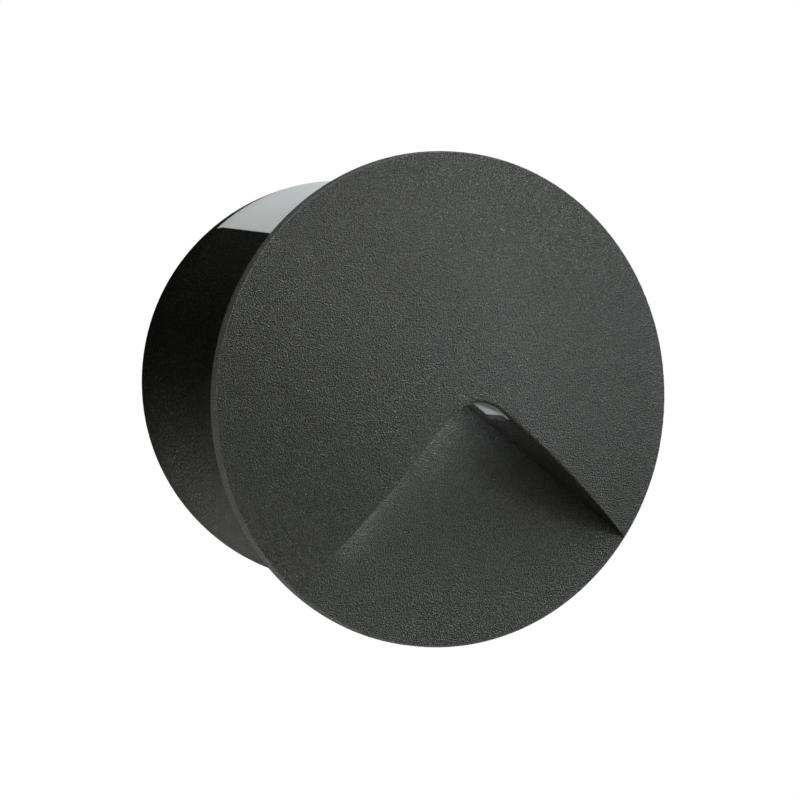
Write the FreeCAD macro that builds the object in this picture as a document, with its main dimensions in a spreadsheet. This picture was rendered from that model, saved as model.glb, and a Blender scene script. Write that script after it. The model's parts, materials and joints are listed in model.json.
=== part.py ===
import FreeCAD, Part
import math
import os
import re
import Sketcher

# Round outdoor wall light. A domed face with a lit notch stands in front of a round housing
# with a lit window on top. The housing pushes onto a wall plate and one screw locks it there.
#
# Every piece is drawn as seen from the front: X to the right, Y up and Z out of the wall, from
# the wall at Z = 0. stand_up() turns the finished piece so that Z is up and the light faces -Y.

SIZES = {
    # Play and overrun
    "fit_gap": 0.05,
    "free_gap": 0.3,
    "overrun": 1,
    # Face cover
    "cover_radius": 60,
    "cover_drop": 2.6,
    "cover_wall": 2.2,
    "rim_thickness": 3.2,
    "rim_wall": 2.8,
    "rim_rounding": 0.5,
    "dome_height": 18.5,
    "spigot_length": 2,
    "spigot_wall": 1.6,
    "seat_width": 4.6,
    # Notch in the face and the slot that lights it
    "notch_half_angle": 45,
    "notch_rise": 3.95,
    "notch_rounding": 10.2,
    "notch_wall": 2.2,
    "hood_rounding": 0.8,
    "hood_rounding_at_rim": 0.1,
    "slot_half_width": 9.8,
    "slot_sill": 3.7,
    "slot_clearance": 0.1,
    "lens_recess": 0.6,
    "lens_flange": 1,
    "lens_flange_reach": 3.2,
    "lens_flange_sill": 1.6,
    "lens_seal_thickness": 0.35,
    # Housing
    "housing_radius": 49,
    "housing_depth": 71.2,
    "housing_wall": 4.6,
    "housing_draft": 1.2,
    "rear_drop": 3.3,
    "rear_blend_depth": 17.2,
    "wall_clearance": 0.4,
    "recess_wall": 3,
    "recess_depth": 18,
    "recess_roof": 2.2,
    "bulkhead_thickness": 2.5,
    "light_box_wall": 6.6,
    "light_box_depth": 19,
    "light_box_rear": 2.8,
    "gasket_groove_width": 2,
    "gasket_groove_depth": 1.2,
    "post_radius": 3.2,
    "post_height": 4,
    "post_hole_radius": 1.3,
    # Window on top
    "window_half_width": 26,
    "window_rear": 12.3,
    "window_to_face": 17.2,
    "window_ledge": 2,
    "window_clearance": 0.15,
    "window_thickness": 2,
    "window_seal_thickness": 0.3,
    # Face screws
    "face_screw_inset": 3.8,
    "face_screw_upper_angle": 32,
    "face_screw_lower_angle": -28,
    "face_screw_radius": 1.95,
    "face_screw_bite": 6.5,
    "face_screw_head_radius": 3.4,
    "face_screw_head_height": 3.4,
    "face_screw_socket_radius": 1.7,
    "face_screw_socket_depth": 2.2,
    "face_washer_thickness": 0.75,
    "face_boss_radius": 4.2,
    "face_boss_hole_radius": 2.2,
    "face_thread_radius": 2.05,
    "face_thread_spare": 1,
    "boss_web_thickness": 2,
    # Small screws inside
    "small_screw_radius": 1.25,
    "small_screw_length": 5,
    "small_head_radius": 2.6,
    "small_head_height": 1.8,
    "small_socket_radius": 1.1,
    "small_socket_depth": 1,
    # Wall plate
    "plate_floor": 2,
    "plate_wall": 1.5,
    "plate_depth": 10,
    "plate_slot_inset": 12.4,
    "plate_slot_length": 10,
    "plate_slot_half_width": 2.25,
    "wall_gasket_inset": 2,
    "wall_gasket_width": 2.8,
    "wall_gasket_thickness": 1,
    # Cable entry
    "cable_radius": 4,
    "grommet_neck_radius": 8.9,
    "grommet_flange_radius": 10.4,
    "grommet_flange_thickness": 1,
    "grommet_collar_thickness": 1.4,
    "grommet_length": 5.5,
    "grommet_nose_radius": 5.4,
    "grommet_shoulder_radius": 7.6,
    # Cable clamp on the wall plate
    "clamp_drop": 20,
    "clamp_half_span": 10,
    "clamp_post_radius": 3,
    "clamp_post_height": 5,
    "clamp_half_length": 14,
    "clamp_half_width": 4,
    "clamp_thickness": 5,
    "clamp_arch_radius": 3.9,
    "clamp_arch_depth": 6,
    # Lock screw
    "lock_screw_radius": 2,
    "lock_hole_clearance": 0.05,
    "lock_screw_depth": 7,
    "lock_screw_length": 5.2,
    "lock_tip_gap": 0.1,
    "lock_socket_radius": 1.15,
    "lock_socket_depth": 2.4,
    "lock_tip_chamfer": 0.5,
    # Terminal block
    "terminal_half_width": 15.2,
    "terminal_drop": 8.8,
    "terminal_height": 15,
    "terminal_rear": 6.5,
    "terminal_pitch": 6.8,
    "terminal_clamp_radius": 2.2,
    "terminal_bore_radius": 1.5,
    "terminal_clamp_inset": 1,
    "terminal_clamp_depth": 11,
    "terminal_screw_radius": 1.25,
    "terminal_screw_head_radius": 1.9,
    "terminal_screw_sink": 0.8,
    "terminal_slot_width": 0.7,
    "terminal_fixing_place": 11.9,
    "terminal_fixing_radius": 1.5,
    # Earth screw
    "earth_across": 24,
    "earth_drop": 26.8,
    "earth_ring_radius": 3.6,
    "earth_ring_thickness": 0.8,
    "earth_washer_thickness": 0.6,
    # Driver
    "driver_half_width": 22,
    "driver_low": -26,
    "driver_high": 2,
    "driver_to_face": 25.25,
    "driver_rounding": 2,
    "driver_ear_reach": 7,
    "driver_ear_low": -7,
    "driver_ear_high": 1,
    "driver_ear_thickness": 2,
    "driver_screw_reach": 3.6,
    # Bracket that carries the upper light
    "bracket_thickness": 2,
    "bracket_half_width": 18.5,
    "bracket_leg_half_width": 16.5,
    "bracket_leg_drop": 19,
    "bracket_rear": 6,
    "bracket_to_face": 9.2,
    "bracket_screw_across": 13,
    "bracket_screw_drop": 7,
    # Upper light
    "pad_thickness": 0.5,
    "pad_margin": 0.5,
    "upper_board_half_width": 16.5,
    "upper_board_inset": 4,
    "board_thickness": 1.6,
    "upper_led_columns": 2,
    "upper_led_rows": 4,
    "upper_led_across_pitch": 18,
    "upper_led_end_margin": 4,
    "led_width": 3.5,
    "led_length": 2.8,
    "led_height": 0.7,
    "tray_margin": 1.6,
    "tray_wall": 1,
    "tray_wall_height": 1.7,
    "tray_window": 1.2,
    "board_screw_inset": 3,
    # Light of the slot
    "slot_board_half_width": 14.5,
    "slot_board_gap": 1.6,
    "slot_board_under_dome": 5.4,
    "slot_board_rise": 11.2,
    "slot_led_count": 3,
    "slot_led_pitch": 8,
    "holder_wall": 1.6,
    "holder_side_wall": 2.8,
    "holder_drop": 6.25,
    "holder_dome_gap": 0.4,
    "sink_thickness": 2,
    "sink_half_width": 16,
    "sink_leg_half_width": 24,
    "sink_leg_drop": 7.45,
    "sink_screw_across": 20.5,
    "sink_screw_drop": 2.45,
    "sink_boss_radius": 3.4,
    # Leads
    "lead_radius": 0.8,
    "lead_bend": 3,
    "lead_pair_pitch": 2.4,
    "lead_gland_rise": 4,
    "lead_gland_radius": 4,
    "lead_gland_groove_radius": 3,
    "lead_gland_lip": 1,
    "lead_hole_radius": 3.1,
    "lead_low_drop": 3.8,
    "lead_high_drop": 1.6,
    "led_lead_clearance": 1.2,
    "slot_lead_across": 8,
    "slot_lead_drop": 8,
    "slot_lead_rise_start": 15.2,
    "slot_lead_rise_end": 5.2,
    "slot_lead_hole_radius": 2.2,
    "slot_lead_pitch": 1.9,
}

# Sizes that follow from the ones above, as formulas of the sheet
DERIVED = {
    "rim_front": "housing_depth + rim_thickness",
    "dome_top": "rim_front + dome_height",
    "dome_sphere": "(cover_radius ^ 2 + dome_height ^ 2) / (2 * dome_height)",
    "dome_centre": "dome_top - dome_sphere",
    "dome_under": "dome_sphere - cover_wall",
    "rim_arc_depth": "dome_centre + "
                     "sqrt((dome_sphere - rim_rounding) ^ 2 - (cover_radius - rim_rounding) ^ 2)",
    "rim_arc_share": "dome_sphere / (dome_sphere - rim_rounding)",
    "notch_apex": "notch_rise - cover_drop",
    "notch_centre": "notch_apex - notch_rounding / sin(notch_half_angle)",
    "notch_top": "notch_centre + notch_rounding",
    "notch_bottom": "-(cover_drop + cover_radius + overrun)",
    "slot_low": "rim_front + slot_sill",
    "cavity_radius": "housing_radius - housing_wall",
    "seat_inner": "cavity_radius - fit_gap - spigot_wall",
    "seat_outer": "seat_inner + spigot_wall + seat_width",
    "recess_radius": "housing_radius - rear_drop - recess_wall",
    "light_box_radius": "housing_radius - light_box_wall",
    "light_box_floor": "housing_radius - light_box_depth",
    "recess_top": "light_box_floor - recess_roof",
    "window_front": "housing_depth - window_to_face",
    "blend_radius": "(rear_blend_depth ^ 2 + rear_drop ^ 2) / (2 * rear_drop)",
    "blend_centre": "housing_radius - blend_radius",
    "blend_end": "wall_clearance + rear_blend_depth",
    "bulkhead_front": "recess_depth + bulkhead_thickness",
    "boss_front": "housing_depth - spigot_length - slot_clearance",
    "post_front": "bulkhead_front + post_height",
    "post_hole_end": "bulkhead_front + post_height / 2",
    "groove_inner": "cavity_radius + (housing_wall - housing_draft - gasket_groove_width) / 2",
    "groove_outer": "groove_inner + gasket_groove_width",
    "rabbet_depth": "window_thickness + window_seal_thickness + 2 * fit_gap",
    "face_screw_pitch_radius": "recess_radius - face_screw_inset",
    "upper_screw_x": "face_screw_pitch_radius * cos(face_screw_upper_angle)",
    "upper_screw_y": "face_screw_pitch_radius * sin(face_screw_upper_angle)",
    "lower_screw_x": "face_screw_pitch_radius * cos(face_screw_lower_angle)",
    "lower_screw_y": "face_screw_pitch_radius * sin(face_screw_lower_angle)",
    "face_screw_seat": "recess_depth - fit_gap - face_washer_thickness",
    "face_screw_tip": "housing_depth + face_screw_bite",
    "plate_radius": "recess_radius - free_gap",
    "plate_top": "recess_top - free_gap",
    "plate_slot_across": "plate_radius - plate_slot_inset",
    "lock_tip": "plate_radius + lock_tip_gap",
    "lock_end": "lock_tip + lock_screw_length",
    "terminal_high": "recess_top - terminal_drop",
    "terminal_low": "terminal_high - terminal_height",
    "terminal_middle": "(terminal_low + terminal_high) / 2",
    "terminal_front": "recess_depth - fit_gap",
    "terminal_wire_end": "terminal_high - terminal_clamp_inset - terminal_clamp_radius",
    "earth_up": "recess_top - earth_drop",
    "mounted_back": "post_front + fit_gap",
    "driver_front": "housing_depth - driver_to_face",
    "driver_ear_middle": "(driver_ear_low + driver_ear_high) / 2",
    "driver_screw_across": "driver_half_width + driver_screw_reach",
    "bracket_leg_low": "light_box_floor - bracket_leg_drop",
    "bracket_front": "housing_depth - bracket_to_face",
    "bracket_screw_up": "light_box_floor - bracket_screw_drop",
    "shelf_low": "light_box_floor + free_gap",
    "shelf_top": "shelf_low + bracket_thickness",
    "pad_top": "shelf_top + pad_thickness",
    "upper_board_top": "pad_top + board_thickness",
    "upper_board_rear": "window_rear + upper_board_inset",
    "upper_board_front": "window_front - upper_board_inset",
    "upper_board_length": "upper_board_front - upper_board_rear",
    "upper_board_middle": "(upper_board_rear + upper_board_front) / 2",
    "upper_led_row_pitch": "(upper_board_length - upper_led_end_margin) / upper_led_rows",
    "tray_base": "upper_board_top + fit_gap",
    "tray_floor": "tray_base + tray_wall",
    "tray_half_width": "upper_board_half_width + tray_margin",
    "tray_rear": "upper_board_rear - tray_margin",
    "tray_front": "upper_board_front + tray_margin",
    "slot_board_rear": "rim_front + slot_board_gap",
    "slot_board_front": "dome_top - slot_board_under_dome",
    "slot_board_low": "notch_top + slot_board_rise",
    "slot_board_top": "slot_board_low + board_thickness",
    "slot_board_level": "(slot_board_low + slot_board_top) / 2",
    "slot_led_depth": "(slot_board_rear + slot_board_front) / 2",
    "holder_low": "notch_top - holder_drop",
    "sink_low": "slot_board_top + fit_gap",
    "sink_top": "sink_low + sink_thickness",
    "sink_front": "slot_board_rear - 2 * holder_dome_gap",
    "sink_rear": "sink_front - sink_thickness",
    "sink_leg_low": "slot_board_low - sink_leg_drop",
    "sink_screw_up": "slot_board_low - sink_screw_drop",
    "lens_flange_inner": "notch_wall + lens_seal_thickness + fit_gap",
    "lens_flange_outer": "lens_flange_inner + lens_flange",
    "lens_flange_half_width": "slot_half_width + lens_flange_reach",
    "lens_flange_low": "slot_low - lens_flange_sill",
    "lens_form_top": "notch_top + lens_flange_outer + overrun",
    "lens_form_bottom": "notch_centre",
    "lead_gland_across": "-(terminal_half_width + free_gap + lead_gland_radius)",
    "lead_gland_up": "driver_high + lead_gland_rise",
    "lead_turn_depth": "(mounted_back + driver_front) / 2",
    "lead_low_run": "recess_top - lead_low_drop",
    "lead_high_run": "recess_top - lead_high_drop",
    "led_lead_across": "bracket_half_width + led_lead_clearance + lead_radius",
    "slot_lead_low": "driver_high - slot_lead_drop",
}

doc = FreeCAD.newDocument("wall_light")
sheet = doc.addObject("Spreadsheet::Sheet", "sizes")
for row, (alias, number) in enumerate(SIZES.items(), start=1):
    sheet.set(f"A{row}", alias)
    sheet.set(f"B{row}", str(number))
    sheet.setAlias(f"B{row}", alias)
for row, (alias, formula) in enumerate(DERIVED.items(), start=len(SIZES) + 1):
    sheet.set(f"A{row}", alias)
    sheet.set(f"B{row}", f"={formula}")
    sheet.setAlias(f"B{row}", alias)
doc.recompute()

ALIASES = set(SIZES) | set(DERIVED)
OUT = FreeCAD.Vector(0, 0, 1)
PARTS = []


def value(formula):
    """The number that a formula in size names stands for."""
    return float(sheet.evalExpression(formula))


def sheet_name(word):
    """A name in a formula with its sheet before it, where it is a size."""
    if word[0] in ALIASES:
        return f"sizes.{word[0]}"
    return word[0]


def bound(formula):
    """The same formula as other objects hold it, with each size named by its sheet."""
    return re.sub(r"[a-z]\w*", sheet_name, formula)


def bind(thing, formulas):
    for name, formula in formulas.items():
        thing.setExpression(name, bound(formula))


def stand_up(thing, label):
    """Turns a finished piece from its drawing to its place and gives it its name."""
    thing.Label = label
    thing.Placement = FreeCAD.Placement(FreeCAD.Vector(0, 0, 0),
                                        FreeCAD.Rotation(FreeCAD.Vector(1, 0, 0), 90))
    PARTS.append(thing)


# Solids


def turned_to(direction):
    """Rotation that points a primitive's own axis out of the wall, up or to the right."""
    axis = {"out": FreeCAD.Vector(0, 0, 1), "up": FreeCAD.Vector(0, 1, 0), "right": FreeCAD.Vector(1, 0, 0)}
    return FreeCAD.Rotation(OUT, axis[direction])


def cylinder(name, radius, low, high, across="0", up="0", direction="out"):
    """A cylinder from low to high along its direction, at a place given by the other two."""
    thing = doc.addObject("Part::Cylinder", name)
    thing.Placement = FreeCAD.Placement(FreeCAD.Vector(0, 0, 0), turned_to(direction))
    places = {
        "out": {"x": across, "y": up, "z": low},
        "up": {"x": across, "y": low, "z": up},
        "right": {"x": low, "y": across, "z": up},
    }
    bind(thing, {"Radius": radius, "Height": f"({high}) - ({low})"})
    bind(thing, {f"Placement.Base.{axis}": place for axis, place in places[direction].items()})
    return thing


def box(name, across, up, out):
    """A box between the lows and highs of its three directions."""
    thing = doc.addObject("Part::Box", name)
    for size, axis, (low, high) in zip(("Length", "Width", "Height"), "xyz", (across, up, out)):
        bind(thing, {size: f"({high}) - ({low})", f"Placement.Base.{axis}": low})
    return thing


def both_sides(half):
    return (f"-({half})", half)


def sphere(name, radius):
    """A ball about the centre of the dome."""
    thing = doc.addObject("Part::Sphere", name)
    bind(thing, {"Radius": radius, "Placement.Base.y": "-cover_drop", "Placement.Base.z": "dome_centre"})
    return thing


def fuse(name, pieces):
    thing = doc.addObject("Part::MultiFuse", name)
    thing.Shapes = pieces
    thing.Refine = True
    return thing


def cut(name, base, tools):
    thing = doc.addObject("Part::Cut", name)
    thing.Base = base
    thing.Tool = tools[0] if len(tools) == 1 else fuse(name + "_cuts", tools)
    thing.Refine = True
    return thing


def common(name, pieces):
    thing = doc.addObject("Part::MultiCommon", name)
    thing.Shapes = pieces
    thing.Refine = True
    return thing


def group(name, pieces):
    thing = doc.addObject("Part::Compound", name)
    thing.Links = pieces
    return thing


# Sketched solids


def hold(sketch, index, position, across, up):
    """Ties a point of a sketch to the formulas of its place."""
    for kind, formula in (("DistanceX", across), ("DistanceY", up)):
        constraint = sketch.addConstraint(Sketcher.Constraint(kind, -1, 1, index, position, value(formula)))
        sketch.setExpression(f"Constraints[{constraint}]", bound(formula))


def hold_radius(sketch, index, radius):
    constraint = sketch.addConstraint(Sketcher.Constraint("Radius", index, value(radius)))
    sketch.setExpression(f"Constraints[{constraint}]", bound(radius))


def draw_circle(sketch, across, up, radius):
    centre = FreeCAD.Vector(value(across), value(up), 0)
    index = sketch.addGeometry(Part.Circle(centre, OUT, value(radius)), False)
    hold(sketch, index, 3, across, up)
    hold_radius(sketch, index, radius)


def draw_loop(sketch, corners):
    """Draws a closed outline. A corner is (across, up), and where an arc leaves it also the arc's
    radius, the place of its centre, and whether it turns left or right.
    """
    places = [FreeCAD.Vector(value(corner[0]), value(corner[1]), 0) for corner in corners]
    ends = []
    for number, corner in enumerate(corners):
        start = places[number]
        stop = places[(number + 1) % len(places)]
        if len(corner) == 2:
            index = sketch.addGeometry(Part.LineSegment(start, stop), False)
            ends.append((index, 1, 2))
            continue
        radius, centre_across, centre_up, turn = corner[2:]
        centre = FreeCAD.Vector(value(centre_across), value(centre_up), 0)
        first, last = (start, stop) if turn == "left" else (stop, start)
        angles = [math.atan2(point.y - centre.y, point.x - centre.x) for point in (first, last)]
        arc = Part.ArcOfCircle(Part.Circle(centre, OUT, value(radius)), angles[0], angles[1])
        index = sketch.addGeometry(arc, False)
        hold_radius(sketch, index, radius)
        ends.append((index, 1, 2) if turn == "left" else (index, 2, 1))
    for number, (index, begin, _) in enumerate(ends):
        previous, _, finish = ends[number - 1]
        sketch.addConstraint(Sketcher.Constraint("Coincident", previous, finish, index, begin))
        hold(sketch, index, begin, corners[number][0], corners[number][1])


def new_sketch(body, role, offset, loops):
    sketch = body.newObject("Sketcher::SketchObject", body.Name + "_outline")
    plane = [feature for feature in body.Origin.OriginFeatures if feature.Role == role][0]
    sketch.AttachmentSupport = (plane, [""])
    sketch.MapMode = "FlatFace"
    bind(sketch, {"AttachmentOffset.Base.z": offset})
    for loop in loops:
        if isinstance(loop, tuple):
            draw_circle(sketch, *loop)
        else:
            draw_loop(sketch, loop)
    return sketch


def prism(name, loops, low, high):
    """Outlines seen from the front, padded out of the wall from low to high. A loop is a tuple
    (across, up, radius) for a circle, or a list of corners.
    """
    body = doc.addObject("PartDesign::Body", name)
    sketch = new_sketch(body, "XY_Plane", low, loops)
    pad = body.newObject("PartDesign::Pad", name + "_pad")
    pad.Profile = sketch
    bind(pad, {"Length": f"({high}) - ({low})"})
    body.Tip = pad
    return body


def turned(name, corners, up="0"):
    """An outline of (radius, depth) corners turned about a line that points out of the wall."""
    body = doc.addObject("PartDesign::Body", name)
    sketch = new_sketch(body, "XZ_Plane", f"-({up})", [corners])
    revolution = body.newObject("PartDesign::Revolution", name + "_turn")
    revolution.Profile = sketch
    revolution.ReferenceAxis = (sketch, ["V_Axis"])
    revolution.Angle = 360
    body.Tip = revolution
    return body


def ring(name, inner, outer, low, high):
    return prism(name, [("0", "0", outer), ("0", "0", inner)], low, high)


def rounded_loop(across, up, radius):
    """A rectangle between lows and highs with rounded corners, drawn to the left."""
    left, right = across
    bottom, top = up
    inner_left, inner_right = f"({left}) + {radius}", f"({right}) - {radius}"
    inner_bottom, inner_top = f"({bottom}) + {radius}", f"({top}) - {radius}"
    return [
        (inner_left, bottom),
        (inner_right, bottom, radius, inner_right, inner_bottom, "left"),
        (right, inner_bottom),
        (right, inner_top, radius, inner_right, inner_top, "left"),
        (inner_right, top),
        (inner_left, top, radius, inner_left, inner_top, "left"),
        (left, inner_top),
        (left, inner_bottom, radius, inner_left, inner_bottom, "left"),
    ]


# Shapes that several pieces share


def notch_prism(name, offset, low, high):
    """The notch seen from the front, larger all round by an offset: a wedge with a round top."""
    radius = f"(notch_rounding + {offset})"
    across = f"{radius} * cos(notch_half_angle)"
    up = f"notch_centre + {radius} * sin(notch_half_angle)"
    foot = f"({up} - notch_bottom) * tan(notch_half_angle) + {across}"
    corners = [
        (f"-({foot})", "notch_bottom"),
        (foot, "notch_bottom"),
        (across, up, radius, "0", "notch_centre", "left"),
        (f"-{across}", up),
    ]
    return prism(name, [corners], low, high)


def notch_layer(name, inner, outer, low, high):
    """A layer that follows the notch's wall between two offsets from it."""
    return cut(name, notch_prism(name + "_outer", outer, low, high),
               [notch_prism(name + "_inner", inner, f"{low} - overrun", f"{high} + overrun")])


def housing_form(name, inset):
    """The housing's outer form as a solid, smaller all round by an inset."""
    radius = f"(blend_radius - {inset})"
    corners = [
        ("0", "wall_clearance"),
        (f"blend_centre + sqrt({radius} ^ 2 - rear_blend_depth ^ 2)", "wall_clearance",
         radius, "blend_centre", "blend_end", "left"),
        (f"housing_radius - {inset}", "blend_end"),
        (f"housing_radius - housing_draft - {inset}", "housing_depth"),
        ("0", "housing_depth"),
    ]
    return turned(name, corners)


def window_block(name, inset):
    """The window's rectangle seen from above, smaller all round by an inset."""
    return box(name, both_sides(f"window_half_width - {inset}"), ("0", "housing_radius + overrun"),
               (f"window_rear + {inset}", f"window_front - {inset}"))


def plate_loop(inset):
    """The wall plate's outline: a circle with a straight top, smaller all round by an inset."""
    radius = f"(plate_radius - {inset})"
    top = f"(plate_top - {inset})"
    across = f"sqrt({radius} ^ 2 - {top} ^ 2)"
    return [(across, top), (f"-{across}", top, radius, "0", "0", "left")]


def slot_solid(name, across, low, high):
    """A slot through the wall plate with round ends, about a place on the horizontal."""
    reach = "(plate_slot_length / 2 - plate_slot_half_width)"
    ends = [
        cylinder(f"{name}_{side}", "plate_slot_half_width", low, high, f"{across} {sign} {reach}")
        for side, sign in (("outer", "+"), ("inner", "-"))
    ]
    middle = box(f"{name}_middle", (f"{across} - {reach}", f"{across} + {reach}"),
                 both_sides("plate_slot_half_width"), (low, high))
    return fuse(name, ends + [middle])


def face_screw_places():
    """Name, across and up of the four screws that hold the face cover."""
    return [
        ("upper_right", "upper_screw_x", "upper_screw_y"),
        ("upper_left", "-upper_screw_x", "upper_screw_y"),
        ("lower_right", "lower_screw_x", "lower_screw_y"),
        ("lower_left", "-lower_screw_x", "lower_screw_y"),
    ]


def post_places():
    """Name, across and up of the screw posts on the front of the bulkhead."""
    return [
        ("driver_right", "driver_screw_across", "driver_ear_middle"),
        ("driver_left", "-driver_screw_across", "driver_ear_middle"),
        ("bracket_right", "bracket_screw_across", "bracket_screw_up"),
        ("bracket_left", "-bracket_screw_across", "bracket_screw_up"),
        ("terminal_right", "terminal_fixing_place", "terminal_middle"),
        ("terminal_left", "-terminal_fixing_place", "terminal_middle"),
        ("earth", "earth_across", "earth_up"),
    ]


def small_screw(name, across, up, seat, pointing="in"):
    """A small socket screw along the depth, its head seated at a depth. It points in, to the
    wall, or out, to the face.
    """
    sign = "-" if pointing == "in" else "+"
    back = "+" if pointing == "in" else "-"
    shank_end = f"{seat} {sign} small_screw_length"
    head_end = f"{seat} {back} small_head_height"
    socket_start = f"{head_end} {sign} small_socket_depth"
    spans = [(seat, shank_end), (seat, head_end), (socket_start, f"{head_end} {back} overrun")]
    (shank_low, shank_high), (head_low, head_high), (socket_low, socket_high) = [
        (stop, start) if value(stop) < value(start) else (start, stop) for start, stop in spans
    ]
    shank = cylinder(name + "_shank", "small_screw_radius", shank_low, shank_high, across, up)
    head = cylinder(name + "_head", "small_head_radius", head_low, head_high, across, up)
    socket = cylinder(name + "_socket", "small_socket_radius", socket_low, socket_high, across, up)
    return cut(name, fuse(name + "_blank", [shank, head]), [socket])


# Face cover with its notch, slot and seals


def cover_blank():
    """The dome with its rim and rounded edges, a spigot behind it and the notch cut in."""
    corners = [
        ("0", "housing_depth"),
        ("cover_radius - rim_rounding", "housing_depth",
         "rim_rounding", "cover_radius - rim_rounding", "housing_depth + rim_rounding", "left"),
        ("cover_radius", "housing_depth + rim_rounding"),
        ("cover_radius", "rim_arc_depth", "rim_rounding", "cover_radius - rim_rounding", "rim_arc_depth",
         "left"),
        ("(cover_radius - rim_rounding) * rim_arc_share",
         "dome_centre + (rim_arc_depth - dome_centre) * rim_arc_share",
         "dome_sphere", "0", "dome_centre", "left"),
        ("0", "dome_top"),
    ]
    dome = turned("cover_dome", corners, up="-cover_drop")
    notch = notch_prism("cover_notch", "0", "rim_front", "dome_top + overrun")
    return cut("cover_notched", dome, [notch])


def hood_edges(shape):
    """Edges where the dome meets the notch's upright walls, with the radius at each end."""
    found = []
    for number, edge in enumerate(shape.Edges, start=1):
        faces = shape.ancestorsOfType(edge, Part.Face)
        kinds = [type(face.Surface).__name__ for face in faces]
        if "Sphere" not in kinds:
            continue
        wall = [face for face in faces if type(face.Surface).__name__ != "Sphere"]
        if not wall or abs(wall[0].normalAt(0, 0).z) > 0.01:
            continue
        if type(wall[0].Surface).__name__ == "Cylinder":
            found.append((number, value("hood_rounding"), value("hood_rounding")))
            continue
        start_high = edge.valueAt(edge.FirstParameter).z > edge.valueAt(edge.LastParameter).z
        radii = (value("hood_rounding"), value("hood_rounding_at_rim"))
        found.append((number, *(radii if start_high else radii[::-1])))
    return found


def cover_hollow():
    """The space inside the dome, around the seat ring, the screw bosses and the notch's wall."""
    space = common("hollow_space", [
        sphere("hollow_ball", "dome_under"),
        cylinder("hollow_round", "cover_radius - rim_wall", "housing_depth - overrun", "dome_top",
                 up="-cover_drop"),
    ])
    seat = ring("cover_seat", "seat_inner", "seat_outer", "housing_depth - 2 * overrun", "dome_top")
    kept = [seat, notch_prism("notch_backing", "notch_wall", "housing_depth - 2 * overrun", "dome_top")]
    for name, across, up in face_screw_places():
        kept.append(cylinder(f"cover_boss_{name}", "face_boss_radius", "housing_depth - 2 * overrun",
                             "dome_top",
                             across, up))
    for name, across in (("right", "sink_screw_across"), ("left", "-sink_screw_across")):
        kept.append(cylinder(f"sink_boss_{name}", "sink_boss_radius", "sink_front + fit_gap", "dome_top",
                             across, "sink_screw_up"))
    return cut("cover_hollow", space, kept)


def face_cover():
    blank = cover_blank()
    doc.recompute()
    rounded = doc.addObject("Part::Fillet", "cover_rounded")
    rounded.Base = blank
    rounded.Edges = hood_edges(blank.Shape)
    spigot = ring("cover_spigot", "seat_inner", "seat_inner + spigot_wall", "housing_depth - spigot_length",
                  "housing_depth + rim_rounding")
    solids = [rounded, spigot]
    holes = [cover_hollow(), common("cover_slot", [
        sphere("slot_ball", "dome_under"),
        box("slot_block", both_sides("slot_half_width"),
            ("notch_centre", "notch_apex + notch_wall + overrun"),
            ("slot_low", "dome_top")),
    ])]
    for name, across, up in face_screw_places():
        solids.append(cylinder(f"cover_stub_{name}", "face_boss_radius", "housing_depth - spigot_length",
                               "housing_depth + rim_rounding", across, up))
        holes.append(cylinder(f"cover_thread_{name}", "face_thread_radius",
                              "housing_depth - spigot_length - overrun", "face_screw_tip + face_thread_spare",
                              across, up))
    for name, across in (("right", "sink_screw_across"), ("left", "-sink_screw_across")):
        holes.append(cylinder(f"sink_thread_{name}", "post_hole_radius", "sink_front",
                              "sink_front + small_screw_length + overrun", across, "sink_screw_up"))
    stand_up(cut("cover", fuse("cover_solid", solids), holes), "face_cover")


def face_gasket():
    gasket = ring("gasket_round", "groove_inner + fit_gap", "groove_outer - fit_gap",
                  "housing_depth - gasket_groove_depth + fit_gap", "housing_depth - fit_gap")
    stand_up(gasket, "face_gasket")


def slot_lens():
    """Frosted lens: a flange inside the notch's wall and a step that fills the slot."""
    flange = common("lens_flange_form", [
        notch_layer("lens_flange_layer", "lens_flange_inner", "lens_flange_outer", "lens_flange_low",
                    "dome_top"),
        box("lens_flange_block", both_sides("lens_flange_half_width"), ("lens_form_bottom", "lens_form_top"),
            ("lens_flange_low", "dome_top")),
        sphere("lens_flange_ball", "dome_under - slot_clearance"),
    ])
    step = common("lens_step_form", [
        notch_layer("lens_step_layer", "lens_recess", "lens_flange_inner + fit_gap",
                    "slot_low + slot_clearance", "dome_top"),
        box("lens_step_block", both_sides("slot_half_width - slot_clearance"),
            ("lens_form_bottom", "lens_form_top"),
            ("slot_low", "dome_top")),
        sphere("lens_step_ball", "dome_under - slot_clearance"),
    ])
    stand_up(fuse("lens_of_slot", [flange, step]), "slot_lens")


def slot_lens_seal():
    """Soft frame between the notch's wall and the lens's flange."""
    layer = notch_layer("lens_seal_layer", "notch_wall + fit_gap", "notch_wall + lens_seal_thickness",
                        "lens_flange_low", "dome_top")
    block = box("lens_seal_block", both_sides("lens_flange_half_width"),
                ("lens_form_bottom", "lens_form_top"),
                ("lens_flange_low", "dome_top"))
    ball = sphere("lens_seal_ball", "dome_under - slot_clearance")
    opening = box("lens_seal_opening", both_sides("slot_half_width"), ("lens_form_bottom", "lens_form_top"),
                  ("slot_low", "dome_top + overrun"))
    stand_up(cut("lens_seal", common("lens_seal_frame", [layer, block, ball]), [opening]), "slot_lens_seal")


# Light engine of the slot, inside the dome


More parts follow.
